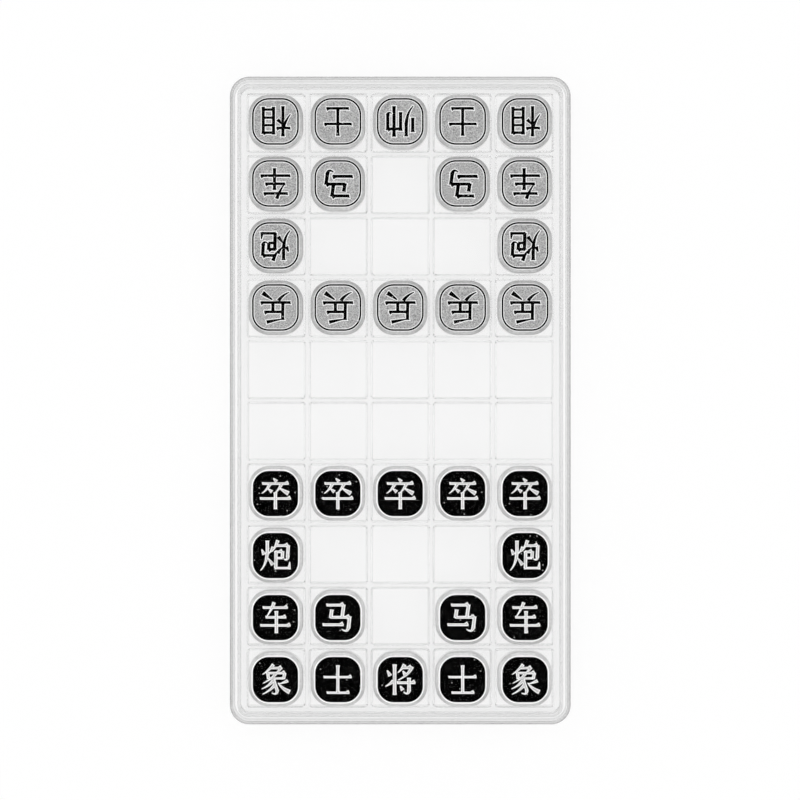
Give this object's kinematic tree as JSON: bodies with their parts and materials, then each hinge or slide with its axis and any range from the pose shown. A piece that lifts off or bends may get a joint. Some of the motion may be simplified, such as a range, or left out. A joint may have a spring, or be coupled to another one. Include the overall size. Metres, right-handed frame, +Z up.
{
  "type": "boxed travel chess set",
  "caption": "Slim clear box with a lift-off lid, a clear tray of square pockets and flat rounded-square metal game pieces, light and dark.",
  "frame": {"origin": "under the middle of the box, on the surface it stands on", "axes": "+Y along the box towards the light side's back rank, +X to the right, +Z up"},
  "size_m": [0.1312, 0.2492, 0.011],
  "materials": {
    "clear_box": "clear polystyrene, moulded and glossy",
    "clear_tray": "clear PET sheet, vacuum formed, slightly hazy",
    "light_metal": "blasted aluminium, cuts filled with black enamel",
    "dark_metal": "blasted aluminium with a sunk black enamel ground"
  },
  "bodies": {
    "base": {"case_base": "clear_box"},
    "lid": {"case_lid": "clear_box"},
    "tray": {"cell_tray": "clear_tray"},
    "light_elephant_1": {"light_elephant_1": "light_metal"},
    "light_adviser_1": {"light_adviser_1": "light_metal"},
    "light_general": {"light_general": "light_metal"},
    "light_adviser_2": {"light_adviser_2": "light_metal"},
    "light_elephant_2": {"light_elephant_2": "light_metal"},
    "light_chariot_1": {"light_chariot_1": "light_metal"},
    "light_horse_1": {"light_horse_1": "light_metal"},
    "light_horse_2": {"light_horse_2": "light_metal"},
    "light_chariot_2": {"light_chariot_2": "light_metal"},
    "light_cannon_1": {"light_cannon_1": "light_metal"},
    "light_cannon_2": {"light_cannon_2": "light_metal"},
    "light_soldier_1": {"light_soldier_1": "light_metal"},
    "light_soldier_2": {"light_soldier_2": "light_metal"},
    "light_soldier_3": {"light_soldier_3": "light_metal"},
    "light_soldier_4": {"light_soldier_4": "light_metal"},
    "light_soldier_5": {"light_soldier_5": "light_metal"},
    "dark_soldier_1": {"dark_soldier_1": "dark_metal"},
    "dark_soldier_2": {"dark_soldier_2": "dark_metal"},
    "dark_soldier_3": {"dark_soldier_3": "dark_metal"},
    "dark_soldier_4": {"dark_soldier_4": "dark_metal"},
    "dark_soldier_5": {"dark_soldier_5": "dark_metal"},
    "dark_cannon_1": {"dark_cannon_1": "dark_metal"},
    "dark_cannon_2": {"dark_cannon_2": "dark_metal"},
    "dark_chariot_1": {"dark_chariot_1": "dark_metal"},
    "dark_horse_1": {"dark_horse_1": "dark_metal"},
    "dark_horse_2": {"dark_horse_2": "dark_metal"},
    "dark_chariot_2": {"dark_chariot_2": "dark_metal"},
    "dark_elephant_1": {"dark_elephant_1": "dark_metal"},
    "dark_adviser_1": {"dark_adviser_1": "dark_metal"},
    "dark_general": {"dark_general": "dark_metal"},
    "dark_adviser_2": {"dark_adviser_2": "dark_metal"},
    "dark_elephant_2": {"dark_elephant_2": "dark_metal"}
  },
  "joints": [
    {"name": "lid_lift", "type": "slide", "parent": "base", "child": "lid", "axis": [0, 0, 1], "range_m": [0, 0.06]},
    {"name": "tray_lift", "type": "slide", "parent": "base", "child": "tray", "axis": [0, 0, 1], "range_m": [0, 0.018]},
    {"name": "light_elephant_1_lift", "type": "slide", "parent": "tray", "child": "light_elephant_1", "axis": [0, 0, 1], "range_m": [0, 0.021]},
    {"name": "light_adviser_1_lift", "type": "slide", "parent": "tray", "child": "light_adviser_1", "axis": [0, 0, 1], "range_m": [0, 0.021]},
    {"name": "light_general_lift", "type": "slide", "parent": "tray", "child": "light_general", "axis": [0, 0, 1], "range_m": [0, 0.021]},
    {"name": "light_adviser_2_lift", "type": "slide", "parent": "tray", "child": "light_adviser_2", "axis": [0, 0, 1], "range_m": [0, 0.021]},
    {"name": "light_elephant_2_lift", "type": "slide", "parent": "tray", "child": "light_elephant_2", "axis": [0, 0, 1], "range_m": [0, 0.021]},
    {"name": "light_chariot_1_lift", "type": "slide", "parent": "tray", "child": "light_chariot_1", "axis": [0, 0, 1], "range_m": [0, 0.021]},
    {"name": "light_horse_1_lift", "type": "slide", "parent": "tray", "child": "light_horse_1", "axis": [0, 0, 1], "range_m": [0, 0.021]},
    {"name": "light_horse_2_lift", "type": "slide", "parent": "tray", "child": "light_horse_2", "axis": [0, 0, 1], "range_m": [0, 0.021]},
    {"name": "light_chariot_2_lift", "type": "slide", "parent": "tray", "child": "light_chariot_2", "axis": [0, 0, 1], "range_m": [0, 0.021]},
    {"name": "light_cannon_1_lift", "type": "slide", "parent": "tray", "child": "light_cannon_1", "axis": [0, 0, 1], "range_m": [0, 0.021]},
    {"name": "light_cannon_2_lift", "type": "slide", "parent": "tray", "child": "light_cannon_2", "axis": [0, 0, 1], "range_m": [0, 0.021]},
    {"name": "light_soldier_1_lift", "type": "slide", "parent": "tray", "child": "light_soldier_1", "axis": [0, 0, 1], "range_m": [0, 0.021]},
    {"name": "light_soldier_2_lift", "type": "slide", "parent": "tray", "child": "light_soldier_2", "axis": [0, 0, 1], "range_m": [0, 0.021]},
    {"name": "light_soldier_3_lift", "type": "slide", "parent": "tray", "child": "light_soldier_3", "axis": [0, 0, 1], "range_m": [0, 0.021]},
    {"name": "light_soldier_4_lift", "type": "slide", "parent": "tray", "child": "light_soldier_4", "axis": [0, 0, 1], "range_m": [0, 0.021]},
    {"name": "light_soldier_5_lift", "type": "slide", "parent": "tray", "child": "light_soldier_5", "axis": [0, 0, 1], "range_m": [0, 0.021]},
    {"name": "dark_soldier_1_lift", "type": "slide", "parent": "tray", "child": "dark_soldier_1", "axis": [0, 0, 1], "range_m": [0, 0.021]},
    {"name": "dark_soldier_2_lift", "type": "slide", "parent": "tray", "child": "dark_soldier_2", "axis": [0, 0, 1], "range_m": [0, 0.021]},
    {"name": "dark_soldier_3_lift", "type": "slide", "parent": "tray", "child": "dark_soldier_3", "axis": [0, 0, 1], "range_m": [0, 0.021]},
    {"name": "dark_soldier_4_lift", "type": "slide", "parent": "tray", "child": "dark_soldier_4", "axis": [0, 0, 1], "range_m": [0, 0.021]},
    {"name": "dark_soldier_5_lift", "type": "slide", "parent": "tray", "child": "dark_soldier_5", "axis": [0, 0, 1], "range_m": [0, 0.021]},
    {"name": "dark_cannon_1_lift", "type": "slide", "parent": "tray", "child": "dark_cannon_1", "axis": [0, 0, 1], "range_m": [0, 0.021]},
    {"name": "dark_cannon_2_lift", "type": "slide", "parent": "tray", "child": "dark_cannon_2", "axis": [0, 0, 1], "range_m": [0, 0.021]},
    {"name": "dark_chariot_1_lift", "type": "slide", "parent": "tray", "child": "dark_chariot_1", "axis": [0, 0, 1], "range_m": [0, 0.021]},
    {"name": "dark_horse_1_lift", "type": "slide", "parent": "tray", "child": "dark_horse_1", "axis": [0, 0, 1], "range_m": [0, 0.021]},
    {"name": "dark_horse_2_lift", "type": "slide", "parent": "tray", "child": "dark_horse_2", "axis": [0, 0, 1], "range_m": [0, 0.021]},
    {"name": "dark_chariot_2_lift", "type": "slide", "parent": "tray", "child": "dark_chariot_2", "axis": [0, 0, 1], "range_m": [0, 0.021]},
    {"name": "dark_elephant_1_lift", "type": "slide", "parent": "tray", "child": "dark_elephant_1", "axis": [0, 0, 1], "range_m": [0, 0.021]},
    {"name": "dark_adviser_1_lift", "type": "slide", "parent": "tray", "child": "dark_adviser_1", "axis": [0, 0, 1], "range_m": [0, 0.021]},
    {"name": "dark_general_lift", "type": "slide", "parent": "tray", "child": "dark_general", "axis": [0, 0, 1], "range_m": [0, 0.021]},
    {"name": "dark_adviser_2_lift", "type": "slide", "parent": "tray", "child": "dark_adviser_2", "axis": [0, 0, 1], "range_m": [0, 0.021]},
    {"name": "dark_elephant_2_lift", "type": "slide", "parent": "tray", "child": "dark_elephant_2", "axis": [0, 0, 1], "range_m": [0, 0.021]}
  ],
  "couplings": [
    {"joint": "tray_lift", "follows": "lid_lift", "ratio": 0.3},
    {"joint": "light_elephant_1_lift", "follows": "lid_lift", "ratio": 0.35},
    {"joint": "light_adviser_1_lift", "follows": "lid_lift", "ratio": 0.35},
    {"joint": "light_general_lift", "follows": "lid_lift", "ratio": 0.35},
    {"joint": "light_adviser_2_lift", "follows": "lid_lift", "ratio": 0.35},
    {"joint": "light_elephant_2_lift", "follows": "lid_lift", "ratio": 0.35},
    {"joint": "light_chariot_1_lift", "follows": "lid_lift", "ratio": 0.35},
    {"joint": "light_horse_1_lift", "follows": "lid_lift", "ratio": 0.35},
    {"joint": "light_horse_2_lift", "follows": "lid_lift", "ratio": 0.35},
    {"joint": "light_chariot_2_lift", "follows": "lid_lift", "ratio": 0.35},
    {"joint": "light_cannon_1_lift", "follows": "lid_lift", "ratio": 0.35},
    {"joint": "light_cannon_2_lift", "follows": "lid_lift", "ratio": 0.35},
    {"joint": "light_soldier_1_lift", "follows": "lid_lift", "ratio": 0.35},
    {"joint": "light_soldier_2_lift", "follows": "lid_lift", "ratio": 0.35},
    {"joint": "light_soldier_3_lift", "follows": "lid_lift", "ratio": 0.35},
    {"joint": "light_soldier_4_lift", "follows": "lid_lift", "ratio": 0.35},
    {"joint": "light_soldier_5_lift", "follows": "lid_lift", "ratio": 0.35},
    {"joint": "dark_soldier_1_lift", "follows": "lid_lift", "ratio": 0.35},
    {"joint": "dark_soldier_2_lift", "follows": "lid_lift", "ratio": 0.35},
    {"joint": "dark_soldier_3_lift", "follows": "lid_lift", "ratio": 0.35},
    {"joint": "dark_soldier_4_lift", "follows": "lid_lift", "ratio": 0.35},
    {"joint": "dark_soldier_5_lift", "follows": "lid_lift", "ratio": 0.35},
    {"joint": "dark_cannon_1_lift", "follows": "lid_lift", "ratio": 0.35},
    {"joint": "dark_cannon_2_lift", "follows": "lid_lift", "ratio": 0.35},
    {"joint": "dark_chariot_1_lift", "follows": "lid_lift", "ratio": 0.35},
    {"joint": "dark_horse_1_lift", "follows": "lid_lift", "ratio": 0.35},
    {"joint": "dark_horse_2_lift", "follows": "lid_lift", "ratio": 0.35},
    {"joint": "dark_chariot_2_lift", "follows": "lid_lift", "ratio": 0.35},
    {"joint": "dark_elephant_1_lift", "follows": "lid_lift", "ratio": 0.35},
    {"joint": "dark_adviser_1_lift", "follows": "lid_lift", "ratio": 0.35},
    {"joint": "dark_general_lift", "follows": "lid_lift", "ratio": 0.35},
    {"joint": "dark_adviser_2_lift", "follows": "lid_lift", "ratio": 0.35},
    {"joint": "dark_elephant_2_lift", "follows": "lid_lift", "ratio": 0.35}
  ]
}
